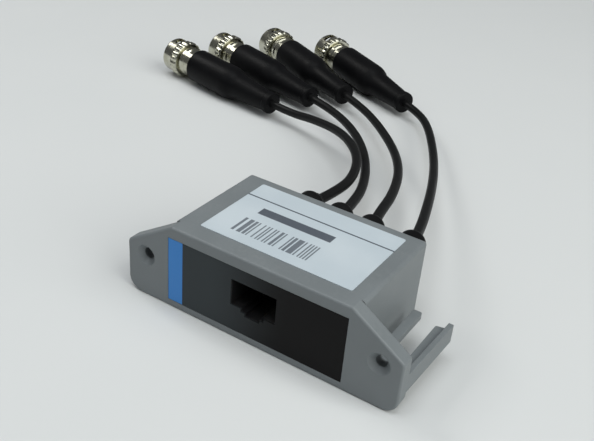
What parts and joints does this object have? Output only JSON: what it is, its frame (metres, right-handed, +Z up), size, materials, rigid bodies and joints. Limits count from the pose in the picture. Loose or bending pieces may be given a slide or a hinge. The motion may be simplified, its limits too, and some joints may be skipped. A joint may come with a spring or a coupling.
{
  "type": "video balun",
  "caption": "Wall-mountable video balun: grey housing with slanted screw ears and forks, a network socket in front and short coaxial pigtails with bayonet plugs behind",
  "frame": {"origin": "centre of the housing's footprint, on the surface that it stands on", "axes": "+X to the right along the front plate, +Y to the rear where the cables leave, +Z up"},
  "size_m": [0.1563, 0.1666, 0.0222],
  "materials": {
    "housing": "satin grey moulding",
    "front_film": "dark printed film with a blue band",
    "paper_label": "white printed film",
    "board": "coated green laminate",
    "jack": "black moulding",
    "contact": "gold flash",
    "transformer": "black moulded block",
    "arrester": "glazed body",
    "steel": "plain steel",
    "grommet": "black rubber",
    "cable": "black soft jacket",
    "boot": "black moulded rubber",
    "nickel": "bright nickel plate",
    "insulator": "white fluoropolymer",
    "pin": "gold plate",
    "gasket": "silicone rubber"
  },
  "bodies": {
    "housing": {"top_cover": "housing", "base_plate": "housing", "front_label": "front_film", "top_label": "paper_label", "circuit_board": "board", "jack_shell": "jack", "jack_contacts": "contact", "transformer_1": "transformer", "transformer_2": "transformer", "transformer_3": "transformer", "transformer_4": "transformer", "surge_arresters": "arrester", "inner_leads": "cable", "cover_screws": "steel", "grommet_1": "grommet", "cable_1": "cable", "boot_1": "boot", "plug_body_1": "nickel", "insulator_1": "insulator", "centre_pin_1": "pin", "gasket_1": "gasket", "spring_washer_1": "steel", "grommet_2": "grommet", "cable_2": "cable", "boot_2": "boot", "plug_body_2": "nickel", "insulator_2": "insulator", "centre_pin_2": "pin", "gasket_2": "gasket", "spring_washer_2": "steel", "grommet_3": "grommet", "cable_3": "cable", "boot_3": "boot", "plug_body_3": "nickel", "insulator_3": "insulator", "centre_pin_3": "pin", "gasket_3": "gasket", "spring_washer_3": "steel", "grommet_4": "grommet", "cable_4": "cable", "boot_4": "boot", "plug_body_4": "nickel", "insulator_4": "insulator", "centre_pin_4": "pin", "gasket_4": "gasket", "spring_washer_4": "steel"},
    "ring_1": {"coupling_ring_1": "nickel"},
    "ring_2": {"coupling_ring_2": "nickel"},
    "ring_3": {"coupling_ring_3": "nickel"},
    "ring_4": {"coupling_ring_4": "nickel"}
  },
  "joints": [
    {"name": "ring_1_turn", "type": "hinge", "parent": "housing", "child": "ring_1", "pos_m": [-0.1142, 0.0975, 0.00683], "axis": [-0.9795, 0.1993, 0.029], "continuous": true},
    {"name": "ring_2_turn", "type": "hinge", "parent": "housing", "child": "ring_2", "pos_m": [-0.1064, 0.115, 0.00683], "axis": [-0.9618, 0.2722, 0.029], "continuous": true},
    {"name": "ring_3_turn", "type": "hinge", "parent": "housing", "child": "ring_3", "pos_m": [-0.0955, 0.1338, 0.00683], "axis": [-0.8999, 0.435, 0.029], "continuous": true},
    {"name": "ring_4_turn", "type": "hinge", "parent": "housing", "child": "ring_4", "pos_m": [-0.0751, 0.1431, 0.00683], "axis": [-0.8914, 0.4522, 0.029], "continuous": true}
  ]
}
